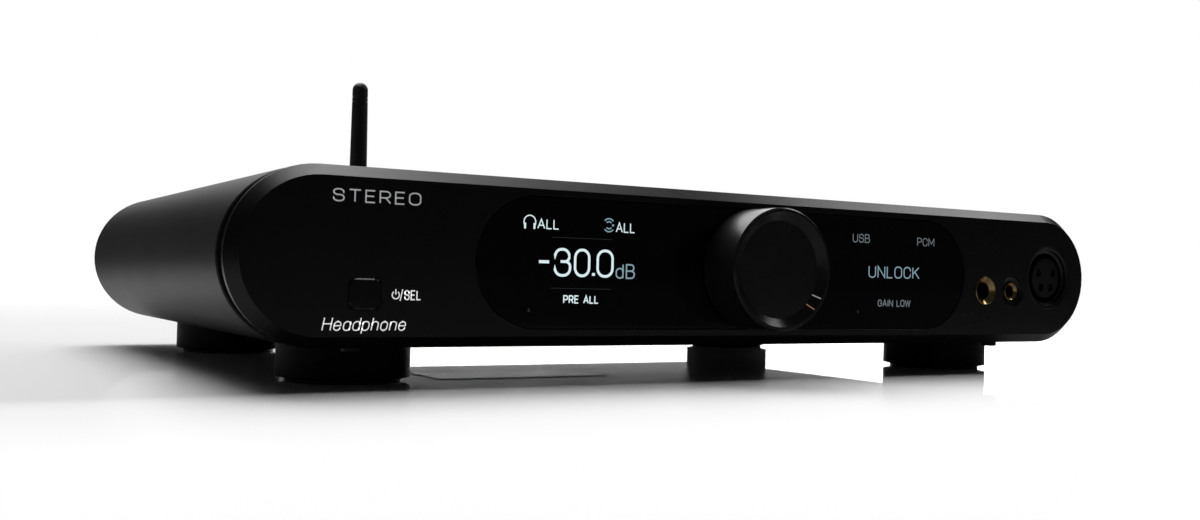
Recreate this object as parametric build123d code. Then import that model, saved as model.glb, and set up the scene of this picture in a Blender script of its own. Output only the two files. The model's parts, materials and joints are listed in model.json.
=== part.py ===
"""Desktop digital-to-analogue converter and headphone amplifier, as separate pieces.

Millimetres. +Z is up and the front faces -Y. The origin is on the table, below the middle of the
whole object, from the knob's face to the back of the aerial. Along the depth, places are given as
the distance behind the front panel's face. Heights are given from the middle of the case.
"""
from build123d import *
import math
import os

# ---------------------------------------------------------------- driving sizes
CASE_WIDTH = 340.0
CASE_HEIGHT = 50.0
CASE_WALL = 2.5
FOOT_HEIGHT = 11.8
PANEL_DEPTH = 5.7
CASE_START = 11.8
CASE_END = 226.4
KNOB_LENGTH = 16.5
KNOB_RADIUS = 19.7
AERIAL_DEPTH = 242.0
AERIAL_REAR = 4.8
AERIAL_TIP = 87.5

TOTAL_DEPTH = KNOB_LENGTH + AERIAL_DEPTH + AERIAL_REAR
FRONT = KNOB_LENGTH - TOTAL_DEPTH / 2
MIDDLE = FOOT_HEIGHT + CASE_HEIGHT / 2

FIT = 0.05
SLIDE_GAP = 0.2
SCREW_GAP = 0.02

# ---------------------------------------------------------------- front panel
CHAMFER_WIDTH = 3.2
CHAMFER_DEPTH = 3.8
WINDOW_WIDTH = 199.4
WINDOW_HEIGHT = 39.4
WINDOW_THICKNESS = 1.1
POCKET_DEPTH = 1.2
POCKET_GAP = 0.2
DISPLAY_X = 64.7
DISPLAY_WIDTH = 55.0
DISPLAY_HEIGHT = 31.0
DISPLAY_FRONT = 1.4
DISPLAY_REAR = 4.6
BUTTON_X, BUTTON_Z = -132.6, -10.0
BUTTON_WIDTH, BUTTON_HEIGHT, BUTTON_CORNER = 9.1, 8.5, 2.0
BUTTON_PROUD = 0.5
BUTTON_REAR = 7.2
JACK_LARGE_X, JACK_SMALL_X, JACK_Z = 111.2, 126.4, -5.4
JACK_LARGE_BORE, JACK_SMALL_BORE = 3.25, 2.25
JACK_LARGE_RING, JACK_SMALL_RING = 5.25, 3.4
DISH_RADIUS, DISH_DEPTH = 6.15, 1.4
SOCKET_X, SOCKET_Z = 146.6, 0.2
SOCKET_RADIUS, SOCKET_BORE = 12.2, 9.7
CONTACT_CIRCLE = 4.6
CONTACT_RADIUS, CONTACT_BORE = 1.5, 1.2
CONTACT_ANGLES = (25, 155, -55, -125)

# ---------------------------------------------------------------- front frame and front board
FRAME_WIDTH, FRAME_HEIGHT, FRAME_WALL = 334.0, 44.0, 4.0
FRAME_END = 21.8
LUG_PLACES = [(x, z) for x in (-100, -33, 33, 100) for z in (-14.8, 14.8)]
LUG_END = 8.7
BOARD_START, BOARD_THICKNESS = 12.0, 1.6
FRONT_BOARD_LEFT, FRONT_BOARD_RIGHT = -142.0, 96.0
SPACER_PLACES = [(x, z) for x in (-112, -22, 22) for z in (-11, 11)]
JACK_BOARD_START = 36.0

# ---------------------------------------------------------------- case, feet and inner boards
PORT_PLACES = [(-138, 19.3), (-46, 19.3), (46, 19.3), (138, 19.3), (-138, -19.3), (138, -19.3)]
PORT_RADIUS, PORT_HOLE, PORT_START = 3.4, 1.3, 30.0
FOOT_X, FOOT_FRONT, FOOT_REAR = 125.0, 38.5, 179.0
FOOT_RADIUS, FOOT_BEVEL_HEIGHT, FOOT_SCREW_SEAT = 20.0, 0.6, 4.6
PAD_RADIUS, PAD_HEIGHT, PAD_INSET = 17.3, 2.4, 1.55
FOOT_PLACES = {
    "front_left": (-FOOT_X, FOOT_FRONT),
    "front_right": (FOOT_X, FOOT_FRONT),
    "rear_left": (-FOOT_X, FOOT_REAR),
    "rear_right": (FOOT_X, FOOT_REAR),
}
FRONT_SCREW_X, FRONT_SCREW_DEPTH = 131.0, 15.2
TRAY_WIDTH, TRAY_START, TRAY_END, TRAY_THICKNESS = 264.0, 28.0, 218.0, 1.5
TRAY_BOTTOM = -CASE_HEIGHT / 2 + CASE_WALL
TRAY_TOP = TRAY_BOTTOM + TRAY_THICKNESS
STANDOFF_HEIGHT = 6.0
BOARD_BOTTOM = TRAY_TOP + STANDOFF_HEIGHT
BOARD_TOP = BOARD_BOTTOM + BOARD_THICKNESS
MAIN_BOARD = (-38.0, 126.0, 50.0, 208.0)
POWER_BOARD = (-128.0, -48.0, 50.0, 202.0)
BOARD_HOLE_EDGE = 5.0

# ---------------------------------------------------------------- rear panel and its sockets
REAR_START, REAR_THICKNESS = 223.4, 2.5
REAR_FACE = REAR_START + REAR_THICKNESS
REAR_WIDTH, REAR_HEIGHT = 334.6, 44.6
INLET_X = -124.0
INLET_WIDTH, INLET_HEIGHT = 27.2, 19.6
INLET_PINS = [(-7.0, -2.0), (0.0, 4.0), (7.0, -2.0)]
ROCKER_X, ROCKER_PIVOT, ROCKER_TILT = -97.0, 224.6, 11.0
ROCKER_HALF_WIDTH, ROCKER_HALF_LENGTH = 5.4, 8.3
TRIGGER_X = -76.0
AERIAL_X = -50.8
USB_X, OPTICAL_X = -28.0, -10.0
PHONO_PLACES = (8.0, 30.0, 50.0)
PHONO_NECK, PHONO_BARREL, PHONO_START = 3.5, 4.15, 227.5
OUTPUT_PLACES = (82.0, 115.0)
OUTPUT_FLANGE = 1.8
OUTPUT_PINS = [(-3.8, 2.6), (3.8, 2.6), (0.0, -4.6)]


# ---------------------------------------------------------------- shape helpers
def along_y(sketch, start, end):
    """The sketch, drawn as seen from the front, pushed from start to end behind the front face."""
    plane = Plane(origin=(0, FRONT + end, MIDDLE), x_dir=(1, 0, 0), z_dir=(0, -1, 0))
    return extrude(plane * sketch, amount=end - start)


def stadium(width, height, start, end):
    return along_y(SlotOverall(width, height), start, end)


def rod(x, z, radius, start, end):
    return along_y(Pos(x, z) * Circle(radius), start, end)


def block(x, z, width, height, start, end, corner=0.0):
    shape = RectangleRounded(width, height, corner) if corner else Rectangle(width, height)
    return along_y(Pos(x, z) * shape, start, end)


def hexagon(x, z, radius, start, end):
    return along_y(Pos(x, z) * RegularPolygon(radius, 6), start, end)


def turned(points, x=0.0, z=0.0):
    """A part turned about the depth axis, from points of (radius, distance behind the front)."""
    profile = make_face(Polyline(*points, close=True))
    return Pos(x, FRONT, MIDDLE + z) * revolve(profile, Axis.Y)


def post(x, depth, radius, low, high):
    """An upright cylinder between two heights from the middle of the case."""
    place = Pos(x, FRONT + depth, MIDDLE + (low + high) / 2)
    return place * Cylinder(radius, high - low)


def plate(left, right, start, end, low, high):
    """A flat box between sides, depths and heights."""
    place = Pos((left + right) / 2, FRONT + (start + end) / 2, MIDDLE + (low + high) / 2)
    return place * Box(right - left, end - start, high - low)


def upright_turned(profile, x, depth, height):
    """A face drawn in radius and height, turned about an upright axis."""
    return Pos(x, FRONT + depth, height) * revolve(Plane.XZ * profile, Axis.Z)


def group(pieces):
    return Compound(children=list(pieces))


def end_edges(solid, rear=False):
    """The outer edges of the front end, or of the rear end."""
    face = solid.faces().sort_by(Axis.Y)[-1 if rear else 0]
    return face.outer_wire().edges()


# ---------------------------------------------------------------- case, tray and feet
def screw_port(x, z):
    side = math.copysign(1, z)
    wall = CASE_HEIGHT / 2 - CASE_WALL / 2
    middle = (abs(z) + wall) / 2
    web = block(x, side * middle, 2 * PORT_RADIUS, wall - abs(z), PORT_START, REAR_START)
    return rod(x, z, PORT_RADIUS, PORT_START, REAR_START) + web


def case_shell():
    shell = stadium(CASE_WIDTH, CASE_HEIGHT, CASE_START, CASE_END)
    shell = chamfer(end_edges(shell), 0.4)
    shell = chamfer(end_edges(shell, rear=True), 0.3)
    inside = (CASE_WIDTH - 2 * CASE_WALL, CASE_HEIGHT - 2 * CASE_WALL)
    shell -= stadium(*inside, CASE_START - 1, CASE_END + 1)
    for x, z in PORT_PLACES:
        shell += screw_port(x, z)
    for x, z in PORT_PLACES:
        shell -= rod(x, z, PORT_HOLE, PORT_START - 1, REAR_START + 1)
    low, high = -CASE_HEIGHT / 2 - 1, TRAY_BOTTOM + 1
    for x, depth in FOOT_PLACES.values():
        shell -= post(x, depth, 2.2, low, high)
    for x in (-FRONT_SCREW_X, FRONT_SCREW_X):
        shell -= post(x, FRONT_SCREW_DEPTH, 1.6, low, high)
    return shell


def tray():
    half = TRAY_WIDTH / 2
    sheet = plate(-half, half, TRAY_START, TRAY_END, TRAY_BOTTOM, TRAY_TOP)
    for x, depth in FOOT_PLACES.values():
        sheet -= post(x, depth, 2.0, TRAY_BOTTOM - 1, TRAY_TOP + 1)
    return sheet


def foot(x, depth):
    """A turned foot, with a wide shallow bevel below and a recess for its pad."""
    base, top = PAD_HEIGHT - PAD_INSET, FOOT_HEIGHT
    profile = Polyline(
        (2.2, top),
        (FOOT_RADIUS, top),
        (FOOT_RADIUS, base + FOOT_BEVEL_HEIGHT),
        (PAD_RADIUS + 0.1, base),
        (PAD_RADIUS + 0.1, PAD_HEIGHT),
        (4.2, PAD_HEIGHT),
        (4.2, base + FOOT_SCREW_SEAT),
        (2.2, base + FOOT_SCREW_SEAT),
        close=True,
    )
    return upright_turned(make_face(profile), x, depth, 0)


def foot_pad(x, depth):
    pad = post(x, depth, PAD_RADIUS, -MIDDLE, -MIDDLE + PAD_HEIGHT)
    pad = fillet(pad.edges().group_by(Axis.Z)[0], 0.25)
    return pad - post(x, depth, 5.0, -MIDDLE - 1, -MIDDLE + PAD_HEIGHT + 1)


def foot_screws():
    seat = -MIDDLE + PAD_HEIGHT - PAD_INSET + FOOT_SCREW_SEAT
    for x, depth in FOOT_PLACES.values():
        head = post(x, depth, 3.8, seat - 2.4, seat)
        head -= post(x, depth, 1.5, seat - 3, seat - 0.9)
        yield head + post(x, depth, 1.95, seat, TRAY_TOP + 1.2)


def lower_front_screws():
    under = -CASE_HEIGHT / 2
    for x in (-FRONT_SCREW_X, FRONT_SCREW_X):
        head = post(x, FRONT_SCREW_DEPTH, 2.8, under - 2.1, under)
        head = fillet(head.edges().group_by(Axis.Z)[0], 0.6)
        head -= post(x, FRONT_SCREW_DEPTH, 1.0, under - 3, under - 0.9)
        yield head + post(x, FRONT_SCREW_DEPTH, 1.4, under, under + 6.5)


def underside_label():
    under = -CASE_HEIGHT / 2
    return plate(-43, 39.5, 155, 192, under - 0.3, under)


# ---------------------------------------------------------------- front panel and window
def panel_openings():
    """Everything that is cut through the front panel."""
    cuts = [
        stadium(WINDOW_WIDTH + 2 * POCKET_GAP, WINDOW_HEIGHT + 2 * POCKET_GAP, -1, POCKET_DEPTH),
        rod(0, 0, 3.7, 0, PANEL_DEPTH + 1),
        rod(JACK_LARGE_X, JACK_Z, JACK_LARGE_RING + 0.1, -1, PANEL_DEPTH + 1),
        rod(JACK_SMALL_X, JACK_Z, JACK_SMALL_RING + 0.1, -1, PANEL_DEPTH + 1),
        rod(SOCKET_X, SOCKET_Z, SOCKET_RADIUS + 0.1, -1, PANEL_DEPTH + 1),
        block(
            BUTTON_X, BUTTON_Z,
            BUTTON_WIDTH + 2 * SLIDE_GAP, BUTTON_HEIGHT + 2 * SLIDE_GAP,
            -1, PANEL_DEPTH + 1, BUTTON_CORNER,
        ),
    ]
    for side in (-1, 1):
        width, height = DISPLAY_WIDTH + 0.6, DISPLAY_HEIGHT + 0.6
        cuts.append(block(side * DISPLAY_X, 0, width, height, 0, PANEL_DEPTH + 1))
    for x, z in LUG_PLACES:
        cuts.append(rod(x, z, 1.1, 2.9, PANEL_DEPTH + 1))
    dish = [
        (0, -0.5),
        (DISH_RADIUS, -0.5),
        (DISH_RADIUS, 0),
        (DISH_RADIUS - 0.6, 0.7 * DISH_DEPTH),
        (4.2, DISH_DEPTH),
        (0, DISH_DEPTH),
    ]
    cuts.append(turned(dish, JACK_SMALL_X, JACK_Z))
    return cuts


def front_panel():
    inner = SlotOverall(CASE_WIDTH - 2 * CHAMFER_WIDTH, CASE_HEIGHT - 2 * CHAMFER_WIDTH)
    outer = SlotOverall(CASE_WIDTH, CASE_HEIGHT)
    face = Plane(origin=(0, FRONT, MIDDLE), x_dir=(1, 0, 0), z_dir=(0, -1, 0))
    shoulder = face.offset(-CHAMFER_DEPTH)
    panel = loft([face * inner, shoulder * outer], ruled=True)
    panel += stadium(CASE_WIDTH, CASE_HEIGHT, CHAMFER_DEPTH, PANEL_DEPTH)
    for cut in panel_openings():
        panel -= cut
    return panel


def display_window():
    start = POCKET_DEPTH - WINDOW_THICKNESS
    window = stadium(WINDOW_WIDTH, WINDOW_HEIGHT, start, POCKET_DEPTH)
    window = chamfer(end_edges(window), 0.25)
    return window - rod(0, 0, 8.4, -1, POCKET_DEPTH + 1)


def display_module(side):
    return block(side * DISPLAY_X, 0, DISPLAY_WIDTH, DISPLAY_HEIGHT, DISPLAY_FRONT, DISPLAY_REAR)


def display_holder(side):
    x, rim = side * DISPLAY_X, 4.0
    frame = block(x, 0, DISPLAY_WIDTH, DISPLAY_HEIGHT, DISPLAY_REAR, BOARD_START)
    hollow = (DISPLAY_WIDTH - 2 * rim, DISPLAY_HEIGHT - 2 * rim)
    return frame - block(x, 0, *hollow, DISPLAY_REAR - 1, BOARD_START + 1)


# ---------------------------------------------------------------- front frame
def front_frame():
    frame = stadium(FRAME_WIDTH, FRAME_HEIGHT, PANEL_DEPTH, FRAME_END)
    hollow = (FRAME_WIDTH - 2 * FRAME_WALL, FRAME_HEIGHT - 2 * FRAME_WALL)
    frame -= stadium(*hollow, PANEL_DEPTH - 1, FRAME_END + 1)
    edge = FRAME_HEIGHT / 2 - FRAME_WALL
    for x, z in LUG_PLACES:
        middle = math.copysign(edge - 3.2, z)
        frame += block(x, middle, 7.0, 7.0, PANEL_DEPTH, LUG_END)
    for x, z in LUG_PLACES:
        frame -= rod(x, z, 1.35, PANEL_DEPTH - 1, LUG_END + 1)
    for x in (-FRONT_SCREW_X, FRONT_SCREW_X):
        frame -= post(x, FRONT_SCREW_DEPTH, 1.42, -FRAME_HEIGHT / 2 - 1, -edge + 1)
    return frame


# ---------------------------------------------------------------- front board
def front_board():
    middle = (FRONT_BOARD_LEFT + FRONT_BOARD_RIGHT) / 2
    width = FRONT_BOARD_RIGHT - FRONT_BOARD_LEFT
    end = BOARD_START + BOARD_THICKNESS
    board = block(middle, 0, width, 30, BOARD_START, end)
    for x, z in SPACER_PLACES:
        board -= rod(x, z, 1.4, BOARD_START - 1, end + 1)
    return board


# ---------------------------------------------------------------- volume knob and its encoder
def volume_knob():
    face, back, floor = -KNOB_LENGTH, -0.7, -KNOB_LENGTH + 2.2
    profile = [
        (0, floor),
        (15.7, floor),
        (18.4, face),
        (KNOB_RADIUS - 0.45, face),
        (KNOB_RADIUS, face + 0.45),
        (KNOB_RADIUS, back),
        (17.2, back),
        (17.2, -11.4),
        (6.2, -11.4),
        (6.2, -2.2),
        (3.0 + SCREW_GAP, -2.2),
        (3.0 + SCREW_GAP, -12.2),
        (0, -12.2),
    ]
    knob = turned(profile)
    knob -= post(0, -6, 1.45, -6.5, -2.0)
    return knob - post(0, -6, 1.7, -KNOB_RADIUS - 1, -16.5)


def knob_grub_screw():
    screw = post(0, -6, 1.4, -6.1, -3.1)
    return screw - post(0, -6, 0.7, -6.5, -4.9)


def encoder_shaft():
    return rod(0, 0, 3.0, -12.0, 9.0)


def encoder():
    body = block(0, 0, 13.0, 12.4, 6.2, BOARD_START, 0.8) + rod(0, 0, 3.5, -1.6, 6.2)
    return body - rod(0, 0, 3.0 + FIT, -2, 9.5)


def encoder_nut():
    return hexagon(0, 0, 6.0, -0.8, POCKET_DEPTH) - rod(0, 0, 3.5 + FIT, -1, POCKET_DEPTH + 1)


# ---------------------------------------------------------------- power and select button
def power_button():
    size = (BUTTON_WIDTH, BUTTON_HEIGHT)
    cap = block(BUTTON_X, BUTTON_Z, *size, -BUTTON_PROUD, PANEL_DEPTH + 0.2, BUTTON_CORNER)
    cap = chamfer(end_edges(cap), 0.4)
    flange = block(BUTTON_X, BUTTON_Z, 12.0, 11.4, PANEL_DEPTH + 0.2, BUTTON_REAR, 2.0)
    return cap + flange


def switch_plunger():
    return rod(BUTTON_X, BUTTON_Z, 1.7, BUTTON_REAR, 10.0)


def button_switch():
    body = block(BUTTON_X, BUTTON_Z, 6.2, 6.2, 8.6, BOARD_START)
    return body - rod(BUTTON_X, BUTTON_Z, 1.7 + FIT, 8, 11.2)


# ---------------------------------------------------------------- headphone sockets
def large_jack():
    body = block(JACK_LARGE_X, JACK_Z, 13.6, 14.0, PANEL_DEPTH + 0.2, JACK_BOARD_START)
    return body - rod(JACK_LARGE_X, JACK_Z, JACK_LARGE_BORE, 5, JACK_BOARD_START - 2)


def large_jack_ring():
    bore, rim, end = JACK_LARGE_BORE, JACK_LARGE_RING, PANEL_DEPTH + 0.1
    profile = [(bore, 1.1), (rim - 0.25, -0.35), (rim, -0.2), (rim, end), (bore, end)]
    return turned(profile, JACK_LARGE_X, JACK_Z)


def small_jack():
    body = block(JACK_SMALL_X, JACK_Z, 10.4, 11.0, PANEL_DEPTH + 0.2, JACK_BOARD_START)
    return body - rod(JACK_SMALL_X, JACK_Z, JACK_SMALL_BORE, 5, JACK_BOARD_START - 6)


def small_jack_ring():
    bore, rim, end = JACK_SMALL_BORE, JACK_SMALL_RING, PANEL_DEPTH + 0.1
    profile = [(bore, 1.7), (rim - 0.2, 0.8), (rim, 0.95), (rim, end), (bore, end)]
    return turned(profile, JACK_SMALL_X, JACK_Z)


def socket_shell():
    rim, end = SOCKET_RADIUS, 22.0
    profile = [
        (SOCKET_BORE, 1.8),
        (rim - 1.6, 1.3),
        (rim - 1.4, 0.35),
        (rim - 0.3, 0.0),
        (rim, 0.2),
        (rim, PANEL_DEPTH + 0.1),
        (rim - 0.8, PANEL_DEPTH + 0.1),
        (rim - 0.8, end),
        (SOCKET_BORE, end),
    ]
    return turned(profile, SOCKET_X, SOCKET_Z)


def contact_places():
    for angle in CONTACT_ANGLES:
        turn = math.radians(angle)
        x = SOCKET_X + CONTACT_CIRCLE * math.cos(turn)
        yield x, SOCKET_Z + CONTACT_CIRCLE * math.sin(turn)


def socket_insert():
    flange = SOCKET_BORE - 0.05
    profile = [(0, 1.2), (7.5, 1.2), (7.8, 1.5), (7.8, 15), (flange, 15), (flange, 22), (0, 22)]
    insert = turned(profile, SOCKET_X, SOCKET_Z)
    for x, z in contact_places():
        insert -= rod(x, z, CONTACT_RADIUS + FIT, 1, 23)
    return insert


def socket_contacts():
    for x, z in contact_places():
        barrel = rod(x, z, CONTACT_RADIUS, 3.0, 22) - rod(x, z, CONTACT_BORE, 2, 12)
        yield barrel + rod(x, z, 0.8, 22, JACK_BOARD_START)


def headphone_board():
    return block(131.5, 0, 57, 29, JACK_BOARD_START, JACK_BOARD_START + BOARD_THICKNESS)


# ---------------------------------------------------------------- inner boards
def board_corners(board):
    left, right, start, end = board
    edge = BOARD_HOLE_EDGE
    return [(x, y) for x in (left + edge, right - edge) for y in (start + edge, end - edge)]


def flat_board(board):
    sheet = plate(*board, BOARD_BOTTOM, BOARD_TOP)
    for x, depth in board_corners(board):
        sheet -= post(x, depth, 1.6, BOARD_BOTTOM - 1, BOARD_TOP + 1)
    return sheet


def board_spacers():
    """The round spacers behind the front panel and on the tray."""
    for x, z in SPACER_PLACES:
        bore = rod(x, z, 1.28, BOARD_START - 4.5, BOARD_START + 1)
        yield rod(x, z, 2.6, PANEL_DEPTH, BOARD_START) - bore
    for x, depth in board_corners(MAIN_BOARD) + board_corners(POWER_BOARD):
        bore = post(x, depth, 1.42, TRAY_TOP + 1, BOARD_BOTTOM + 1)
        yield post(x, depth, 3.0, TRAY_TOP, BOARD_BOTTOM) - bore


def inner_screws():
    """The screws of the front frame, the front board and the two flat boards."""
    end = BOARD_START + BOARD_THICKNESS
    for x, z in LUG_PLACES:
        yield rod(x, z, 2.2, LUG_END, LUG_END + 1.7) + rod(x, z, 1.08, 3.1, LUG_END)
    for x, z in SPACER_PLACES:
        yield rod(x, z, 2.2, end, end + 1.6) + rod(x, z, 1.25, BOARD_START - 4, end)
    for x, depth in board_corners(MAIN_BOARD) + board_corners(POWER_BOARD):
        head = post(x, depth, 2.8, BOARD_TOP, BOARD_TOP + 1.8)
        yield head + post(x, depth, 1.4, TRAY_TOP + 1.5, BOARD_TOP)


def transformer():
    """The ring-shaped transformer, then its clamping washer and bolt."""
    x, depth = -88, 101
    low, high = BOARD_TOP, BOARD_TOP + 27
    ring = fillet(post(x, depth, 33, low, high).edges(), 5)
    yield ring - post(x, depth, 9, low - 1, high + 1)
    yield post(x, depth, 16, high, high + 1.5) + post(x, depth, 3, low, high)


def power_capacitors():
    for x in (-117, -98, -79, -60):
        for depth in (150, 171):
            can = post(x, depth, 8, BOARD_TOP, BOARD_TOP + 25)
            yield fillet(can.edges().group_by(Axis.Z)[-1], 0.8)


def heat_sink():
    sink = plate(-8, 100, 60, 63, BOARD_TOP, BOARD_TOP + 26)
    for fin in range(14):
        x = -6 + 8 * fin
        sink += plate(x - 0.7, x + 0.7, 63, 78, BOARD_TOP, BOARD_TOP + 26)
    return sink


def amplifier_modules():
    for x in (36, 62, 88):
        for depth in (96, 126):
            yield plate(x, x + 20, depth, depth + 22, BOARD_TOP, BOARD_TOP + 14)


def converter_shield():
    can = plate(-24, 22, 100, 146, BOARD_TOP, BOARD_TOP + 7)
    return can - plate(-23.5, 21.5, 100.5, 145.5, BOARD_TOP - 1, BOARD_TOP + 6.5)


def board_components():
    """The smaller parts that are soldered to the boards."""
    yield converter_shield()
    yield plate(-116, -88, 184, 199, BOARD_TOP, BOARD_TOP + 18)
    yield plate(-34, -18, 168, 192, BOARD_TOP, BOARD_TOP + 2.6)
    yield plate(-20, 20, BOARD_START + BOARD_THICKNESS, 18, -9, -5)
    yield plate(-20, 20, 51, 54.5, BOARD_TOP, -8.5)
    for depth in (112, 130):
        yield plate(-16, -4, depth, depth + 8, BOARD_TOP, BOARD_TOP + 1.4)
    for x in (10, 34, 58, 82):
        yield plate(x - 5, x + 5, 55.4, 60, BOARD_TOP + 2, BOARD_TOP + 18)
    for x in (40, 60, 80, 100):
        yield plate(x, x + 10, 170, 190, BOARD_TOP, BOARD_TOP + 9)


def ribbon_cable():
    start, bend, end = 18.0, 46.0, 54.5
    side = [(start, -7.4), (start, -6.6), (bend, -6.6), (end, -7.7), (end, -8.5), (bend, -7.4)]
    outline = make_face(Plane.YZ * Polyline(*side, close=True))
    return Pos(-18, FRONT, MIDDLE) * extrude(outline, amount=36, dir=(1, 0, 0))


# ---------------------------------------------------------------- rear panel
def rear_panel():
    panel = stadium(REAR_WIDTH, REAR_HEIGHT, REAR_START, REAR_FACE)
    low, high = REAR_START - 1, REAR_FACE + 1
    cuts = [
        block(INLET_X, 0, INLET_WIDTH + 0.2, INLET_HEIGHT + 0.2, low, high),
        block(ROCKER_X, 0, 13.1, 19.6, low, high),
        rod(TRIGGER_X, 0, 3.1, low, high),
        rod(AERIAL_X, 0, 3.15, low, high),
        block(USB_X, 0, 12.2, 11.2, low, high),
        block(OPTICAL_X, 0, 10.2, 10.2, low, high),
    ]
    cuts += [rod(x, 0, PHONO_NECK + 0.4, low, high) for x in PHONO_PLACES]
    cuts += [rod(x, 0, 11.9, low, high) for x in OUTPUT_PLACES]
    cuts += [rod(x, z, 1.6, low, high) for x, z in PORT_PLACES]
    cuts += [rod(x, z, 1.25, low, high) for x, z in output_screw_places()]
    for cut in cuts:
        panel -= cut
    return panel


def socket_head(x, z, seat):
    head = rod(x, z, 2.6, seat, seat + 1.6)
    head = fillet(end_edges(head, rear=True), 0.4)
    return head - hexagon(x, z, 1.15, seat + 0.6, seat + 2)


def rear_panel_screws():
    """The screws of the panel, and those of the two balanced outputs."""
    for x, z in PORT_PLACES:
        yield socket_head(x, z, REAR_FACE) + rod(x, z, 1.28, REAR_FACE - 10, REAR_FACE)
    seat = REAR_FACE + OUTPUT_FLANGE
    for x, z in output_screw_places():
        yield socket_head(x, z, seat) + rod(x, z, 1.22, 219, seat)


def rear_nuts():
    trigger = hexagon(TRIGGER_X, 0, 4.6, REAR_FACE, REAR_FACE + 2)
    yield trigger - rod(TRIGGER_X, 0, 3.05, REAR_FACE - 1, REAR_FACE + 3)
    aerial = hexagon(AERIAL_X, 0, 5.0, REAR_FACE, REAR_FACE + 2.1)
    yield aerial - rod(AERIAL_X, 0, 3.12, REAR_FACE - 1, REAR_FACE + 3)


# ---------------------------------------------------------------- mains inlet and power rocker
def mains_inlet():
    body = block(INLET_X, 0, INLET_WIDTH, INLET_HEIGHT, 206, REAR_FACE)
    body += block(INLET_X, 0, 30.6, 23.6, REAR_FACE, REAR_FACE + 2, 2.0)
    mouth = Pos(INLET_X, 0) * Polygon(
        (-12.2, 8.2), (-12.2, -4.0), (-8.0, -8.2), (8.0, -8.2), (12.2, -4.0), (12.2, 8.2),
        align=None,
    )
    body -= along_y(mouth, 212, REAR_FACE + 3)
    for x, z in INLET_PINS:
        body -= block(INLET_X + x, z, 2.1, 4.1, 205, 213)
    return body


def mains_inlet_pins():
    for x, z in INLET_PINS:
        yield block(INLET_X + x, z, 2.0, 4.0, 203, 224.4)


def rocker_frame():
    frame = block(ROCKER_X, 0, 12.9, 19.4, 208, REAR_FACE)
    frame += block(ROCKER_X, 0, 14.6, 21.0, REAR_FACE, REAR_FACE + 1.7, 1.0)
    frame -= block(ROCKER_X, 0, 11.4, 18.0, 214, REAR_FACE + 3)
    pivot = Pos(ROCKER_X, FRONT + ROCKER_PIVOT, MIDDLE) * Rot(0, 90, 0)
    return frame - pivot * Cylinder(1.06, 14)


def power_rocker():
    half = ROCKER_HALF_LENGTH
    side = [(3.0, half), (1.6, 0), (3.0, -half), (-1.5, -half), (-5, -2), (-5, 2), (-1.5, half)]
    outline = make_face(Plane.YZ * Polyline(*side, close=True))
    rocker = extrude(outline, amount=2 * ROCKER_HALF_WIDTH, dir=(1, 0, 0))
    rocker = Pos(-ROCKER_HALF_WIDTH, 0, 0) * rocker
    rocker += Rot(0, 90, 0) * Cylinder(1.0, 12.4)
    return Pos(ROCKER_X, FRONT + ROCKER_PIVOT, MIDDLE) * Rot(ROCKER_TILT, 0, 0) * rocker


# ---------------------------------------------------------------- signal sockets at the rear
def trigger_jack():
    body = block(TRIGGER_X, 0, 9, 10, 208, REAR_START) + rod(TRIGGER_X, 0, 3.0, 223, 228.4)
    return body - rod(TRIGGER_X, 0, 1.8, 212, 229)


def usb_socket():
    body = block(USB_X, 0, 12, 11, 208, REAR_FACE + 0.5)
    body -= block(USB_X, 0, 8.6, 7.9, 216, REAR_FACE + 1)
    return body + block(USB_X, 0, 5.7, 3.2, 215, REAR_FACE - 0.6)


def optical_socket():
    body = block(OPTICAL_X, 0, 10, 10, 210, REAR_FACE + 0.5)
    return body - block(OPTICAL_X, 0, 6.6, 6.6, 219, REAR_FACE + 1, 1.2)


def phono_jacks():
    """The three jacks, each with its insulating washer."""
    for x in PHONO_PLACES:
        body = block(x, 0, 11, 12, 208, REAR_START)
        body += rod(x, 0, PHONO_NECK, 223, PHONO_START)
        body += rod(x, 0, PHONO_BARREL, PHONO_START, 235)
        yield body - rod(x, 0, 1.65, 225, 236)
        washer = rod(x, 0, 6.2, REAR_FACE, REAR_FACE + 1.2)
        yield washer - rod(x, 0, PHONO_NECK + FIT, 225, 228)


def output_screw_places():
    return [(x + s * 9.6, -s * 12) for x in OUTPUT_PLACES for s in (-1, 1)]


def output_socket(x):
    socket = rod(x, 0, 11.8, 207, REAR_FACE)
    socket += block(x, 0, 26, 31, REAR_FACE, REAR_FACE + OUTPUT_FLANGE, 2.5)
    socket -= rod(x, 0, 8.15, 211, REAR_FACE + 2)
    for px, pz in OUTPUT_PINS:
        socket -= rod(x + px, pz, 1.25, 206, 212)
    for sx, sz in output_screw_places():
        socket -= rod(sx, sz, 1.7, REAR_FACE - 0.5, REAR_FACE + 2)
    return socket


def output_pins():
    for x in OUTPUT_PLACES:
        for px, pz in OUTPUT_PINS:
            pin = rod(x + px, pz, 1.2, 205, REAR_FACE)
            yield fillet(end_edges(pin, rear=True), 0.6)


# ---------------------------------------------------------------- aerial
def aerial_socket():
    body = hexagon(AERIAL_X, 0, 4.4, 219, REAR_START) + rod(AERIAL_X, 0, 3.1, 223, 233)
    return body - rod(AERIAL_X, 0, 1.1, 229, 234)


def aerial_coupling():
    profile = [
        (3.12, 228.2),
        (4.3, 228.2),
        (4.6, 228.5),
        (4.6, 235.7),
        (4.3, 236.0),
        (2.45 + FIT, 236.0),
        (2.45 + FIT, 233.2),
        (3.12, 233.2),
    ]
    return turned(profile, AERIAL_X)


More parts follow.
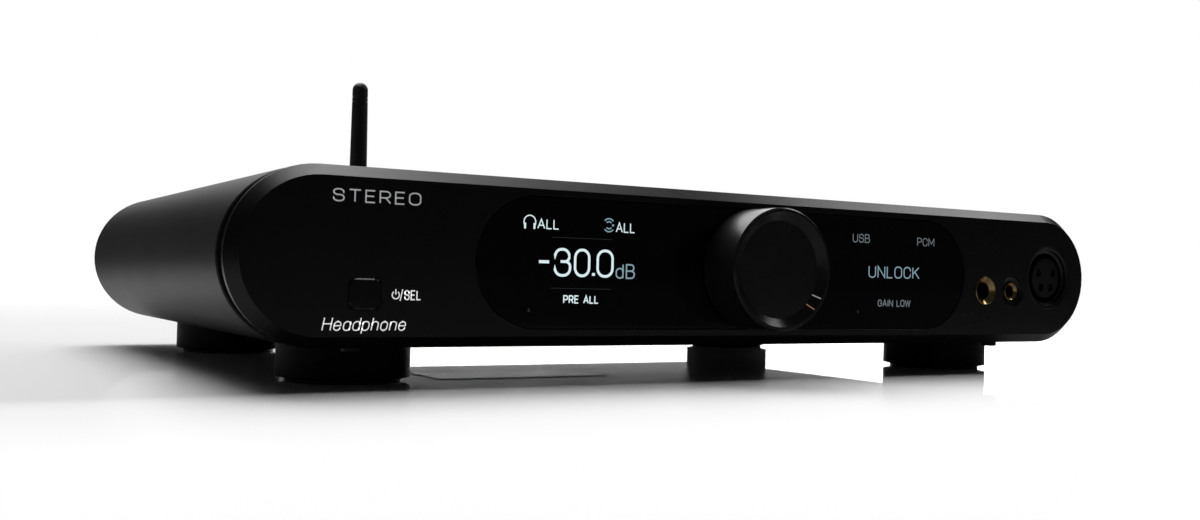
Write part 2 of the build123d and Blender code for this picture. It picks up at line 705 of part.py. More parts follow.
def aerial_swivel():
    """The neck that turns in the coupling, with the two ears that hold the hinge pin."""
    x, pivot, ear = AERIAL_X, AERIAL_DEPTH, AERIAL_REAR
    collar = rod(x, 0, 4.6, 236.1, 237.3)
    shape = Plane.YZ * (Circle(ear) + Pos(-ear / 2, 0) * Rectangle(ear, 2 * 4.4))
    ears = Pos(x - 4.2, FRONT + pivot, MIDDLE) * extrude(shape, amount=8.4, dir=(1, 0, 0))
    ears -= plate(x - 1.8, x + 1.8, 237.3, pivot + ear + 1, -6, 6)
    pin = Pos(x, FRONT + pivot, MIDDLE) * Rot(0, 90, 0) * Cylinder(1.0 + SCREW_GAP, 10)
    return rod(x, 0, 2.45, 233.6, 236.1) + collar + ears - pin


def aerial_pin():
    return Pos(AERIAL_X, FRONT + AERIAL_DEPTH, MIDDLE) * Rot(0, 90, 0) * Cylinder(1.0, 8.8)


def aerial_whip():
    """The rubber-covered whip, with the tongue that folds between the swivel's ears."""
    low, tip_radius, foot_radius = 5.4, 3.7, 4.55
    groove_depth, groove_half = 0.3, 0.25
    shoulder = AERIAL_TIP - tip_radius
    lean = tip_radius * math.sqrt(0.5)
    lines = Polyline((0, low), (foot_radius - 0.4, low), (foot_radius, low + 0.4))
    lines += Line((foot_radius, low + 0.4), (tip_radius, shoulder))
    crown = (lean, shoulder + lean)
    lines += ThreePointArc((tip_radius, shoulder), crown, (0, AERIAL_TIP))
    lines += Line((0, AERIAL_TIP), (0, low))
    whip = upright_turned(make_face(lines), AERIAL_X, AERIAL_DEPTH, MIDDLE)
    for height in (AERIAL_TIP - 7.2, AERIAL_TIP - 9.2):
        groove = post(AERIAL_X, AERIAL_DEPTH, 6, height - groove_half, height + groove_half)
        whip -= groove - post(AERIAL_X, AERIAL_DEPTH, tip_radius - groove_depth, height - 1, height + 1)
    shape = Plane.YZ * (Circle(4.2) + Pos(0, 3.2) * Rectangle(6.0, 6.4))
    tongue = extrude(shape, amount=3.3, dir=(1, 0, 0))
    whip += Pos(AERIAL_X - 1.65, FRONT + AERIAL_DEPTH, MIDDLE) * tongue
    bore = Pos(AERIAL_X, FRONT + AERIAL_DEPTH, MIDDLE) * Rot(0, 90, 0) * Cylinder(1.0 + FIT, 6)
    return whip - bore


# ---------------------------------------------------------------- every piece, by name
def all_pieces():
    feet = FOOT_PLACES.items()
    pieces = {f"foot_{name}": foot(x, depth) for name, (x, depth) in feet}
    pieces |= {
        "foot_pads": group(foot_pad(x, depth) for name, (x, depth) in feet),
        "foot_screws": group(foot_screws()),
        "case_shell": case_shell(),
        "chassis_tray": tray(),
        "lower_front_screws": group(lower_front_screws()),
        "underside_label": underside_label(),
        "front_panel": front_panel(),
        "display_window": display_window(),
        "displays": group(display_module(side) for side in (-1, 1)),
        "display_holders": group(display_holder(side) for side in (-1, 1)),
        "front_frame": front_frame(),
        "front_board": front_board(),
        "volume_knob": volume_knob(),
        "knob_grub_screw": knob_grub_screw(),
        "encoder_shaft": encoder_shaft(),
        "encoder_body": encoder(),
        "encoder_nut": encoder_nut(),
        "power_button": power_button(),
        "switch_plunger": switch_plunger(),
        "button_switch": button_switch(),
        "large_jack": large_jack(),
        "large_jack_ring": large_jack_ring(),
        "small_jack": small_jack(),
        "small_jack_ring": small_jack_ring(),
        "balanced_socket_shell": socket_shell(),
        "balanced_socket_insert": socket_insert(),
        "balanced_socket_contacts": group(socket_contacts()),
        "headphone_board": headphone_board(),
        "main_board": flat_board(MAIN_BOARD),
        "power_board": flat_board(POWER_BOARD),
        "board_spacers": group(board_spacers()),
        "inner_screws": group(inner_screws()),
        "toroidal_transformer": group(transformer()),
        "power_capacitors": group(power_capacitors()),
        "heat_sink": heat_sink(),
        "amplifier_modules": group(amplifier_modules()),
        "board_components": group(board_components()),
        "ribbon_cable": ribbon_cable(),
        "rear_panel": rear_panel(),
        "rear_panel_screws": group(rear_panel_screws()),
        "rear_nuts": group(rear_nuts()),
        "mains_inlet": mains_inlet(),
        "mains_inlet_pins": group(mains_inlet_pins()),
        "power_rocker_frame": rocker_frame(),
        "power_rocker": power_rocker(),
        "trigger_jack": trigger_jack(),
        "usb_socket": usb_socket(),
        "optical_socket": optical_socket(),
        "phono_jacks": group(phono_jacks()),
        "balanced_outputs": group(output_socket(x) for x in OUTPUT_PLACES),
        "balanced_output_pins": group(output_pins()),
        "aerial_socket": aerial_socket(),
        "aerial_coupling": aerial_coupling(),
        "aerial_swivel": aerial_swivel(),
        "aerial_pin": aerial_pin(),
        "aerial_whip": aerial_whip(),
    }
    return pieces


os.makedirs("parts", exist_ok=True)
for piece_name, piece in all_pieces().items():
    export_step(piece, f"parts/{piece_name}.step")
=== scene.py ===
"""Looks of a desktop converter with a headphone amplifier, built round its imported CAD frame.

Metres, +Z up. The front panel faces -Y, and +X is to the right as seen from the front.
"""
import json
import math

import bmesh
import bpy
from mathutils import Matrix, Vector
from mathutils.bvhtree import BVHTree


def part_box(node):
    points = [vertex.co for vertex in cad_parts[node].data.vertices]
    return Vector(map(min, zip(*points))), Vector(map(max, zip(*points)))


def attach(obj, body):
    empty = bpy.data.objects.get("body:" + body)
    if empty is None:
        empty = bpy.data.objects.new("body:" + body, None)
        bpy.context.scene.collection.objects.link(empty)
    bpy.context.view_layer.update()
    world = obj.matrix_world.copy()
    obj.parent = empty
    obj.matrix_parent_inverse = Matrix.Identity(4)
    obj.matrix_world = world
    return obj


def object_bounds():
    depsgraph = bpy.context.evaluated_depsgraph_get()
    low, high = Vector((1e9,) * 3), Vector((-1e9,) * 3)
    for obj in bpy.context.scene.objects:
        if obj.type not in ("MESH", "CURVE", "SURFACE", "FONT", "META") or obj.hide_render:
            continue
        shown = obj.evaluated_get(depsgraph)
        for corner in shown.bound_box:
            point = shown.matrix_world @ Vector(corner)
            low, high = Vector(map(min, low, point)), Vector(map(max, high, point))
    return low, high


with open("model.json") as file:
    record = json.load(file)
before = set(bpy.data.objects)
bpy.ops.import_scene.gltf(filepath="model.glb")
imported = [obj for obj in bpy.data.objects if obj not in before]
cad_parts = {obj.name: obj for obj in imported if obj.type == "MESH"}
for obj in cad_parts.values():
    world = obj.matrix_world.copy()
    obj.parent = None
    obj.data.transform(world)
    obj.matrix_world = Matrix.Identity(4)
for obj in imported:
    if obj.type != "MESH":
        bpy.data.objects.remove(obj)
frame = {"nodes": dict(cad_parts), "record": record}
cad_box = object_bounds()
nodes = frame["nodes"]

MM = 0.001

panel_low, panel_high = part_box("front_panel")
CENTRE_X = (panel_low.x + panel_high.x) / 2
MIDDLE_Z = (panel_low.z + panel_high.z) / 2
FRONT_Y, WINDOW_Y = panel_low.y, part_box("display_window")[0].y


def middle_of(node):
    low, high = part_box(node)
    return (low + high) / 2


# ---------------------------------------------------------------- node materials
BEVEL_SAMPLES = 4
# Cosines between a face's normal and its rounded one: where an edge is full, and where it has ended.
EDGE_FULL, EDGE_NONE = 0.86, 0.995
RUBBED_ALUMINIUM, RUBBED_KNOB = (0.06, 0.06, 0.062), (0.09, 0.09, 0.093)
RUBBED_PLASTIC = (0.035, 0.035, 0.036)


def add_node(tree, kind, inputs=None, **settings):
    """A new node. Each input is linked where a socket is given for it, and set where a value is."""
    node = tree.nodes.new(kind)
    for key, value in settings.items():
        setattr(node, key, value)
    for key, value in (inputs or {}).items():
        if isinstance(value, bpy.types.NodeSocket):
            tree.links.new(value, node.inputs[key])
        else:
            node.inputs[key].default_value = value
    return node


class Recipe:
    """A node material. Each method adds nodes and gives back the socket that carries the result."""

    def __init__(self, name, **surface):
        self.material = bpy.data.materials.new(name)
        self.material.use_nodes = True
        self.tree = self.material.node_tree
        self.surface = self.tree.nodes["Principled BSDF"]
        for socket, value in surface.items():
            self.surface.inputs[socket.replace("_", " ")].default_value = value
        self.place = self.add("ShaderNodeTexCoord").outputs["Object"]

    def add(self, kind, inputs=None, **settings):
        return add_node(self.tree, kind, inputs, **settings)

    def feed(self, socket, value):
        self.tree.links.new(value, self.surface.inputs[socket])

    def math(self, operation, *values):
        inputs = dict(enumerate(values))
        return self.add("ShaderNodeMath", inputs, operation=operation).outputs[0]

    def stretched(self, stretch):
        return self.add("ShaderNodeMapping", {"Vector": self.place, "Scale": stretch}).outputs[0]

    def noise(self, size, detail=2.0, stretch=(1, 1, 1)):
        """Noise whose features are about size metres across."""
        inputs = {"Vector": self.stretched(stretch), "Scale": 1 / size, "Detail": detail}
        return self.add("ShaderNodeTexNoise", inputs).outputs["Fac"]

    def spread(self, value, low, high, start=0.3, end=0.7):
        """value, taken from start to end, laid out from low to high."""
        inputs = {"Value": value, "From Min": start, "From Max": end, "To Min": low, "To Max": high}
        return self.add("ShaderNodeMapRange", inputs).outputs["Result"]

    def blend(self, share, first, second):
        node = self.add("ShaderNodeMix", data_type="RGBA")
        self.tree.links.new(share, node.inputs[0])
        for socket, colour in ((node.inputs[6], first), (node.inputs[7], second)):
            if isinstance(colour, bpy.types.NodeSocket):
                self.tree.links.new(colour, socket)
            else:
                socket.default_value = (*colour, 1)
        return node.outputs[2]

    def edges(self, width):
        """1 along sharp edges, within about width metres, and 0 elsewhere."""
        rounded = self.add("ShaderNodeBevel", {"Radius": width}, samples=BEVEL_SAMPLES).outputs[0]
        flat = self.add("ShaderNodeNewGeometry").outputs["Normal"]
        inputs = {0: rounded, 1: flat}
        same = self.add("ShaderNodeVectorMath", inputs, operation="DOT_PRODUCT").outputs["Value"]
        return self.spread(same, 1.0, 0.0, start=EDGE_FULL, end=EDGE_NONE)

    def bump(self, height, depth, soften=0.0):
        """Raises the surface by height times depth, on edges eased by a radius of soften."""
        inputs = {"Height": height, "Distance": depth}
        if soften:
            eased = self.add("ShaderNodeBevel", {"Radius": soften}, samples=BEVEL_SAMPLES)
            inputs["Normal"] = eased.outputs[0]
        self.feed("Normal", self.add("ShaderNodeBump", inputs).outputs[0])

    def rings(self, pitch, centre):
        """Bands round an axis along Y through centre, as a turning tool leaves."""
        offset = self.add("ShaderNodeVectorMath", {0: self.place, 1: centre}, operation="SUBTRACT")
        flat = self.add("ShaderNodeVectorMath", {0: offset.outputs[0], 1: (1, 0, 1)}, operation="MULTIPLY")
        length = self.add("ShaderNodeVectorMath", {0: flat.outputs[0]}, operation="LENGTH").outputs["Value"]
        inputs = {"W": length, "Scale": 1 / pitch, "Detail": 3.0}
        return self.add("ShaderNodeTexNoise", inputs, noise_dimensions="1D").outputs["Fac"]


def two_tone(recipe, first, second, size, rough, stretch=(1, 1, 1)):
    """Slow changes of colour and of roughness over the surface."""
    cloud = recipe.noise(size, 4.0, stretch)
    recipe.feed("Base Color", recipe.blend(recipe.spread(cloud, 0, 1), first, second))
    recipe.feed("Roughness", recipe.spread(cloud, *rough))
    return cloud


def worn(recipe, first, second, size, rough, edge_colour, edge_width):
    """Like two_tone, with edges rubbed to edge_colour."""
    cloud = recipe.noise(size, 4.0)
    body = recipe.blend(recipe.spread(cloud, 0, 1), first, second)
    patchy = recipe.math("MULTIPLY", recipe.edges(edge_width), recipe.noise(6 * MM, 3.0))
    recipe.feed("Base Color", recipe.blend(patchy, body, edge_colour))
    recipe.feed("Roughness", recipe.spread(cloud, *rough))


def anodised(name, first, second, rough, grain=0.16 * MM, depth=0.006 * MM):
    """Aluminium blasted with fine beads and dyed black."""
    recipe = Recipe(name, Specular_IOR_Level=0.62)
    worn(recipe, first, second, 30 * MM, rough, RUBBED_ALUMINIUM, 0.25 * MM)
    recipe.bump(recipe.noise(grain, 2.0), depth, soften=0.18 * MM)
    return recipe.material


def turned(name, first, second, rough, node):
    """Turned and dyed aluminium, with the tool's rings round the node's own axis."""
    recipe = Recipe(name, Specular_IOR_Level=0.65)
    rings = recipe.rings(0.22 * MM, middle_of(node))
    cloud = recipe.noise(12 * MM, 3.0)
    body = recipe.blend(recipe.spread(cloud, 0, 1), first, second)
    rub = recipe.math("MULTIPLY", recipe.edges(0.2 * MM), recipe.noise(4 * MM, 3.0))
    recipe.feed("Base Color", recipe.blend(rub, body, RUBBED_KNOB))
    recipe.feed("Roughness", recipe.spread(rings, *rough))
    recipe.bump(rings, 0.004 * MM, soften=0.15 * MM)
    return recipe.material


def moulded(name, first, second, rough, grain=0.25 * MM, depth=0.015 * MM, specular=0.4):
    """Plastic or rubber with the mould's fine grain."""
    recipe = Recipe(name, Specular_IOR_Level=specular)
    worn(recipe, first, second, 14 * MM, rough, RUBBED_PLASTIC, 0.2 * MM)
    recipe.bump(recipe.noise(grain, 3.0), depth, soften=0.15 * MM)
    return recipe.material


def polished(name, first, second, rough):
    """Smoked, polished plastic or glass, with faint haze and the film of wiping."""
    recipe = Recipe(name, Specular_IOR_Level=0.5, Coat_Weight=0.3, Coat_Roughness=0.02)
    cloud = recipe.noise(18 * MM, 3.0, (1, 1, 2.5))
    recipe.feed("Base Color", recipe.blend(recipe.spread(cloud, 0, 1), first, second))
    recipe.feed("Roughness", recipe.spread(cloud, *rough))
    recipe.bump(recipe.noise(40 * MM, 1.0), 0.002 * MM, soften=0.12 * MM)
    return recipe.material


def plated(name, first, second, rough, grain=1.4 * MM, depth=0.003 * MM):
    """Plated metal, a little uneven from the bath, darker where it is handled."""
    recipe = Recipe(name, Metallic=1.0)
    two_tone(recipe, first, second, grain, rough)
    recipe.bump(recipe.noise(0.4 * MM, 2.0), depth, soften=0.1 * MM)
    return recipe.material


def circuit_board(name):
    """Green solder mask over copper tracks."""
    pitch, mask, track = 1.3 * MM, (0.012, 0.075, 0.035), (0.03, 0.16, 0.08)
    recipe = Recipe(name, Specular_IOR_Level=0.5, Coat_Weight=0.4)
    inputs = {"Vector": recipe.stretched((1, 1, 0.05)), "Scale": 1 / pitch}
    cells = recipe.add("ShaderNodeTexVoronoi", inputs, distance="MANHATTAN").outputs["Distance"]
    tracks = recipe.spread(cells, 0, 1, start=0.42, end=0.5)
    recipe.feed("Base Color", recipe.blend(tracks, mask, track))
    recipe.feed("Roughness", recipe.spread(recipe.noise(5 * MM), 0.25, 0.4))
    recipe.bump(tracks, 0.02 * MM)
    return recipe.material


def wound(name):
    """Varnished tape wound round the transformer's ring, in diagonal bands of painted light and shade."""
    shaded, lit = (0.36, 0.2, 0.035), (0.55, 0.34, 0.08)
    recipe = Recipe(name, Specular_IOR_Level=0.5, Coat_Weight=0.5)
    inputs = {"Vector": recipe.place, "Scale": 120.0, "Distortion": 1.2, "Detail": 2.0}
    bands = recipe.add("ShaderNodeTexWave", inputs, bands_direction="DIAGONAL").outputs["Fac"]
    recipe.feed("Base Color", recipe.blend(bands, shaded, lit))
    recipe.feed("Roughness", recipe.spread(bands, 0.3, 0.5))
    recipe.bump(bands, 0.12 * MM)
    return recipe.material


def ink_and_painted_light(name, colour, glow):
    """Screen-printed inks, thin and slightly uneven, with a painted glow of their own so that they show on
    black. Also makes the painted reflections on the knob and the painted shade round the label.
    """
    recipe = Recipe(name, Specular_IOR_Level=0.3, Emission_Strength=glow)
    cloud = recipe.noise(0.5 * MM, 3.0)
    faded = tuple(0.82 * part for part in colour)
    shade = recipe.blend(recipe.spread(cloud, 0, 1), faded, colour)
    recipe.feed("Base Color", shade)
    recipe.feed("Emission Color", shade)
    recipe.feed("Roughness", recipe.spread(cloud, 0.45, 0.65))
    recipe.bump(cloud, 0.004 * MM)
    return recipe.material


def glowing(name, colour, strength):
    """Lit display pixels behind the window, with a faint change from pixel to pixel."""
    recipe = Recipe(name, Specular_IOR_Level=0.2, Roughness=0.4, Emission_Strength=strength)
    recipe.surface.inputs["Base Color"].default_value = (0.0, 0.0, 0.0, 1)
    pixel = recipe.noise(0.12 * MM, 1.0)
    dimmer = tuple(0.86 * part for part in colour)
    recipe.feed("Emission Color", recipe.blend(recipe.spread(pixel, 0, 1), dimmer, colour))
    return recipe.material


DARK, DARKER = (0.013, 0.013, 0.014), (0.009, 0.009, 0.0095)
# One material for each slot in the record.
slots = {
    "case_black": anodised("case_black", DARK, (0.011, 0.011, 0.0117), (0.395, 0.425)),
    "panel_black": anodised("panel_black", (0.006, 0.006, 0.0063), (0.004, 0.004, 0.0042), (0.26, 0.32)),
    "frame_black": moulded("frame_black", (0.006, 0.006, 0.006), (0.004, 0.004, 0.004), (0.5, 0.6)),
    "window_smoked": polished("window_smoked", (0.001, 0.001, 0.0012), (0.002, 0.002, 0.0024), (0.03, 0.06)),
    "display_glass": polished("display_glass", (0.003, 0.003, 0.004), (0.006, 0.006, 0.008), (0.04, 0.08)),
    "knob_black": turned("knob_black", (0.022, 0.022, 0.0235), (0.016, 0.016, 0.0175), (0.20, 0.26),
                         "volume_knob"),
    "button_black": polished("button_black", (0.004, 0.004, 0.004), (0.007, 0.007, 0.007), (0.14, 0.22)),
    "gold": plated("gold", (0.87, 0.64, 0.30), (0.80, 0.56, 0.24), (0.13, 0.24)),
    "socket_black": moulded("socket_black", (0.012, 0.012, 0.012), (0.007, 0.007, 0.007), (0.4, 0.5)),
    "socket_metal": anodised("socket_metal", DARK, DARKER, (0.25, 0.33), 0.3 * MM, 0.004 * MM),
    "contact_silver": plated("contact_silver", (0.72, 0.71, 0.69), (0.6, 0.6, 0.59), (0.18, 0.3)),
    "screw_black": plated("screw_black", (0.045, 0.045, 0.047), (0.03, 0.03, 0.031), (0.3, 0.42)),
    "steel": plated("steel", (0.55, 0.55, 0.56), (0.45, 0.45, 0.47), (0.28, 0.42), 4 * MM),
    "foot_black": moulded("foot_black", (0.003, 0.003, 0.003), (0.002, 0.002, 0.002), (0.42, 0.52),
                          specular=0.15),
    "rubber_black": moulded("rubber_black", (0.024, 0.024, 0.025), (0.017, 0.017, 0.018), (0.42, 0.52)),
    "board": circuit_board("board"),
    "winding": wound("winding"),
    "capacitor": moulded("capacitor", (0.015, 0.015, 0.04), (0.01, 0.01, 0.03), (0.3, 0.4)),
    "heat_sink": anodised("heat_sink", DARK, DARKER, (0.35, 0.45)),
    "component": moulded("component", (0.02, 0.02, 0.021), (0.014, 0.014, 0.015), (0.4, 0.55)),
    "ribbon": moulded("ribbon", (0.5, 0.5, 0.52), (0.42, 0.42, 0.45), (0.4, 0.5), 0.6 * MM),
    "label": moulded("label", DARK, DARKER, (0.32, 0.40), specular=0.6),
}
# The grey and white inks glow with painted light; the copper one is a painted reflection on the knob, and the
# black one is painted shade round the label.
GREY_INK_PAINTED_GLOW = ink_and_painted_light("grey_ink_painted_glow", (0.42, 0.43, 0.44), 0.7)
COPPER_PAINTED_REFLECTION = ink_and_painted_light("copper_painted_reflection", (0.50, 0.27, 0.18), 0.5)
WHITE_INK_PAINTED_GLOW = ink_and_painted_light("white_ink_painted_glow", (0.80, 0.81, 0.82), 0.9)
GAP_SHADE_PAINT = ink_and_painted_light("painted_gap_shade", (0.003, 0.003, 0.003), 0.0)
READOUT_BRIGHT = glowing("readout_bright", (0.80, 0.97, 1.0), 0.95)
READOUT_BLUE = glowing("readout_blue", (0.38, 0.60, 0.70), 0.62)
READOUT_DIM = glowing("readout_dim", (0.36, 0.44, 0.47), 0.42)
READOUT_FAINT = glowing("readout_faint", (0.30, 0.36, 0.38), 0.08)


def dress_frame():
    """Gives every CAD node the material of its slot in the record."""
    for row in frame["record"]["subparts"]:
        node = nodes[row["node"]]
        node.data.materials.clear()
        node.data.materials.append(slots[row["material_slot"]])


# ---------------------------------------------------------------- strokes and letters
# Each letter: its width and its strokes, in cap heights from its lower left. A stroke is a list of points
# (x, z) or (x, z, rounding).
GLYPHS = {
    "A": (0.70, [[(0, 0), (0.35, 1), (0.70, 0)], [(0.12, 0.34), (0.58, 0.34)]]),
    "B": (0.60, [[(0, 0.53), (0, 1), (0.55, 1, 0.22), (0.55, 0.53, 0.22), (0, 0.53)],
                 [(0, 0.53), (0.60, 0.53, 0.24), (0.60, 0, 0.26), (0, 0), (0, 0.53)]]),
    "C": (0.62, [[(0.62, 0.76), (0.62, 1, 0.3), (0, 1, 0.3), (0, 0, 0.3), (0.62, 0, 0.3), (0.62, 0.24)]]),
    "D": (0.62, [[(0, 0), (0, 1), (0.62, 1, 0.34), (0.62, 0, 0.34), (0, 0)]]),
    "E": (0.52, [[(0.52, 1), (0, 1), (0, 0), (0.52, 0)], [(0, 0.52), (0.47, 0.52)]]),
    "G": (0.64, [[(0.62, 0.78), (0.62, 1, 0.3), (0, 1, 0.3), (0, 0, 0.3), (0.64, 0, 0.3), (0.64, 0.47),
                  (0.36, 0.47)]]),
    "H": (0.62, [[(0, 0), (0, 1)], [(0.62, 0), (0.62, 1)], [(0, 0.52), (0.62, 0.52)]]),
    "I": (0.06, [[(0.03, 0), (0.03, 1)]]),
    "K": (0.62, [[(0, 0), (0, 1)], [(0.58, 1), (0, 0.40)], [(0.19, 0.60), (0.62, 0)]]),
    "L": (0.50, [[(0, 1), (0, 0), (0.50, 0)]]),
    "M": (0.78, [[(0, 0), (0, 1), (0.39, 0.28), (0.78, 1), (0.78, 0)]]),
    "N": (0.64, [[(0, 0), (0, 1), (0.64, 0), (0.64, 1)]]),
    "O": (0.66, [[(0, 0.5), (0, 1, 0.3), (0.66, 1, 0.3), (0.66, 0, 0.3), (0, 0, 0.3), (0, 0.5)]]),
    "P": (0.58, [[(0, 0), (0, 1), (0.58, 1, 0.26), (0.58, 0.45, 0.26), (0, 0.45)]]),
    "R": (0.60, [[(0, 0), (0, 1), (0.58, 1, 0.26), (0.58, 0.45, 0.26), (0, 0.45)],
                 [(0.32, 0.45), (0.60, 0)]]),
    "S": (0.58, [[(0.56, 0.78), (0.56, 1, 0.25), (0, 1, 0.25), (0, 0.52, 0.24), (0.58, 0.52, 0.24),
                  (0.58, 0, 0.25), (0, 0, 0.25), (0, 0.22)]]),
    "T": (0.64, [[(0, 1), (0.64, 1)], [(0.32, 1), (0.32, 0)]]),
    "U": (0.62, [[(0, 1), (0, 0, 0.3), (0.62, 0, 0.3), (0.62, 1)]]),
    "W": (0.92, [[(0, 1), (0.23, 0), (0.46, 0.92), (0.69, 0), (0.92, 1)]]),
    "a": (0.50, [[(0.50, 0.7), (0.50, 0)],
                 [(0.50, 0.5), (0.50, 0.7, 0.2), (0, 0.7, 0.25), (0, 0, 0.25), (0.50, 0, 0.2), (0.50, 0.2)]]),
    "d": (0.50, [[(0.50, 1), (0.50, 0)],
                 [(0.50, 0.5), (0.50, 0.7, 0.2), (0, 0.7, 0.25), (0, 0, 0.25), (0.50, 0, 0.2), (0.50, 0.2)]]),
    "e": (0.50, [[(0, 0.37), (0.50, 0.37), (0.50, 0.7, 0.25), (0, 0.7, 0.25), (0, 0, 0.25), (0.46, 0, 0.2),
                  (0.47, 0.14)]]),
    "h": (0.48, [[(0, 0), (0, 1)], [(0, 0.42), (0, 0.7, 0.2), (0.48, 0.7, 0.22), (0.48, 0)]]),
    "n": (0.48, [[(0, 0), (0, 0.7)], [(0, 0.42), (0, 0.7, 0.2), (0.48, 0.7, 0.22), (0.48, 0)]]),
    "o": (0.50, [[(0, 0.35), (0, 0.7, 0.25), (0.50, 0.7, 0.25), (0.50, 0, 0.25), (0, 0, 0.25), (0, 0.35)]]),
    "p": (0.50, [[(0, 0.7), (0, -0.26)],
                 [(0, 0.5), (0, 0.7, 0.2), (0.50, 0.7, 0.25), (0.50, 0, 0.25), (0, 0, 0.2), (0, 0.2)]]),
    "0": (0.66, [[(0, 0.5), (0, 1, 0.31), (0.66, 1, 0.31), (0.66, 0, 0.31), (0, 0, 0.31), (0, 0.5)]]),
    "3": (0.66, [[(0, 0.80), (0, 1, 0.28), (0.62, 1, 0.28), (0.62, 0.53, 0.2), (0.24, 0.53)],
                 [(0.40, 0.53), (0.66, 0.53, 0.2), (0.66, 0, 0.28), (0, 0, 0.28), (0, 0.20)]]),
    ".": (0.12, [[(0.06, 0), (0.06, 0.11)]]),
    " ": (0.34, []),
}
CORNER_STEPS, WRAP_STEPS = 7, 8
# Places on the front and the back are millimetres from the panel's centre. The level's characters: each
# with its left and right ends and the weight of its strokes.
LEVEL = (("3", -74.2, -68.2, 0.8), ("0", -67.3, -61.6, 0.8), (".", -60.9, -59.9, 1.0),
         ("0", -59.4, -53.3, 0.8))
LEVEL_BASE, LEVEL_HEIGHT = -4.0, 8.6
REAR_WORD_BASE, REAR_WORD_HEIGHT, REAR_WORD_WEIGHT = 13.4, 2.4, 0.28
ROCKER_MARK_REACH, ROCKER_MARK_WEIGHT = 1.2, 0.35
PHONO_WASHER, PHONO_SPACING = 6.2 * MM, 20 * MM
# The painted shade round the underside label: its inset from the label's edge and its width.
GAP_SHADE_INSET, GAP_SHADE_WIDTH = 0.4 * MM, 0.8 * MM
# The knob's painted reflections: their ends' distances from its axis, their width, and how far in front to
# look from.
REFLECTION_INNER, REFLECTION_OUTER, REFLECTION_WIDTH, KNOB_REACH = 15.8 * MM, 18.2 * MM, 0.32 * MM, 10 * MM


def natural_width(text, gap):
    """The text's width in cap heights, before any stretch."""
    return sum(GLYPHS[letter][0] for letter in text) + gap * (len(text) - 1)


def rounded_line(points):
    """The stroke's points with each rounded corner turned into an arc."""
    line = []
    for index, point in enumerate(points):
        corner = Vector(point[:2])
        if len(point) == 2:
            line.append(corner)
            continue
        before, after = Vector(points[index - 1][:2]), Vector(points[index + 1][:2])
        arm_in, arm_out = (before - corner).normalized(), (after - corner).normalized()
        angle = arm_in.angle(arm_out)
        reach = point[2] / math.tan(angle / 2)
        middle = corner + (arm_in + arm_out).normalized() * (point[2] / math.sin(angle / 2))
        start, end = corner + arm_in * reach - middle, corner + arm_out * reach - middle
        sweep = start.angle_signed(end)
        for step in range(CORNER_STEPS + 1):
            turn = Matrix.Rotation(-sweep * step / CORNER_STEPS, 2)
            line.append(middle + turn @ start)
    return line


def arc(centre, radius, start, end, steps=24):
    """Points of an arc, in degrees counted from +X towards +Z."""
    turns = (math.radians(start + (end - start) * step / steps) for step in range(steps + 1))
    return [Vector(centre) + radius * Vector((math.cos(turn), math.sin(turn))) for turn in turns]


